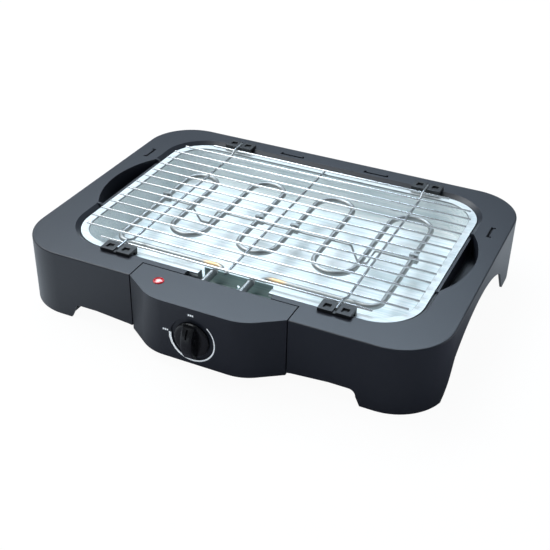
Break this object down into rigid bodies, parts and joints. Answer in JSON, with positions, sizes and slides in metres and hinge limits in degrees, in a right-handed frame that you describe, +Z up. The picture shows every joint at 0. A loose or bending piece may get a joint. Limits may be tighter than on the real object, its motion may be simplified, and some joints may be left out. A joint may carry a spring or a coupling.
{
  "type": "electric tabletop grill",
  "caption": "Open tabletop electric grill: oblong moulded housing on feet, steel water tray, lift-out tubular heater with control box and knob, and a chrome wire rack.",
  "frame": {"origin": "on the table, under the middle of the whole outline, knob included", "axes": "+X to the right seen from the front, +Y to the back, +Z up; the control box is at -Y"},
  "size_m": [0.5, 0.4045, 0.0869],
  "materials": {
    "charcoal_moulding": "fine satin grain",
    "rubber": "dull",
    "tray_steel": "bright rolled sheet",
    "holder_black": "heat resistant, satin",
    "rack_chrome": "bright plated wire",
    "element_steel": "dull annealed sheath",
    "bright_steel": "bright",
    "knob_black": "semi-gloss",
    "lens_red": "clear red, gloss",
    "lamp_glass": "clear",
    "thermostat_metal": "satin with a pale insulating body",
    "block_ceramic": "unglazed",
    "screw_brass": "bright",
    "inner_black": "satin",
    "lead_sleeves": "silicone sleeving in several colours"
  },
  "bodies": {
    "base": {"housing": "charcoal_moulding", "foot_pad_1": "rubber", "foot_pad_2": "rubber", "foot_pad_3": "rubber", "foot_pad_4": "rubber"},
    "tray": {"water_tray": "tray_steel", "rack_holder_1": "holder_black", "rack_holder_2": "holder_black", "rack_holder_3": "holder_black", "rack_holder_4": "holder_black", "holder_rivets": "tray_steel"},
    "heater_unit": {"heating_element": "element_steel", "element_sleeve_1": "bright_steel", "element_sleeve_2": "bright_steel", "terminal_pin_1": "bright_steel", "terminal_pin_2": "bright_steel", "support_wire": "element_steel", "element_clip_1": "element_steel", "element_clip_2": "element_steel", "element_clip_3": "element_steel", "element_clip_4": "element_steel", "heat_shield": "bright_steel", "shield_screws": "bright_steel", "box_shell": "charcoal_moulding", "box_bottom": "charcoal_moulding", "bottom_screws": "bright_steel", "thermostat": "thermostat_metal", "thermostat_screws": "bright_steel", "lamp_lens": "lens_red", "neon_lamp": "lamp_glass", "terminal_block": "block_ceramic", "terminal_screws": "screw_brass", "cord_gland": "inner_black", "cord_clamp": "inner_black", "clamp_screws": "bright_steel", "safety_switch": "inner_black", "lead_live": "lead_sleeves", "lead_switched": "lead_sleeves", "lead_element": "lead_sleeves", "lead_neutral": "lead_sleeves", "lead_earth": "lead_sleeves", "lamp_leads": "lead_sleeves"},
    "rack": {"rack_bars": "rack_chrome", "middle_wire": "rack_chrome", "outer_wire_1": "rack_chrome", "outer_wire_2": "rack_chrome"},
    "knob": {"knob": "knob_black", "thermostat_shaft": "bright_steel"},
    "plunger": {"switch_plunger": "block_ceramic"}
  },
  "joints": [
    {"name": "tray_lift", "type": "slide", "parent": "base", "child": "tray", "axis": [0, 0, 1], "range_m": [0, 0.12]},
    {"name": "heater_lift", "type": "slide", "parent": "tray", "child": "heater_unit", "axis": [0, 0, 1], "range_m": [0, 0.12]},
    {"name": "rack_lift", "type": "slide", "parent": "heater_unit", "child": "rack", "axis": [0, 0, 1], "range_m": [0, 0.12]},
    {"name": "knob_turn", "type": "hinge", "parent": "heater_unit", "child": "knob", "pos_m": [-0.003, -0.18825, 0.043], "axis": [0, 1, 0], "range_deg": [0, 276]},
    {"name": "plunger_press", "type": "slide", "parent": "heater_unit", "child": "plunger", "axis": [0, 0, 1], "range_m": [0, 0.001], "stiffness_N_per_m": 200, "springref_m": -0.003}
  ]
}
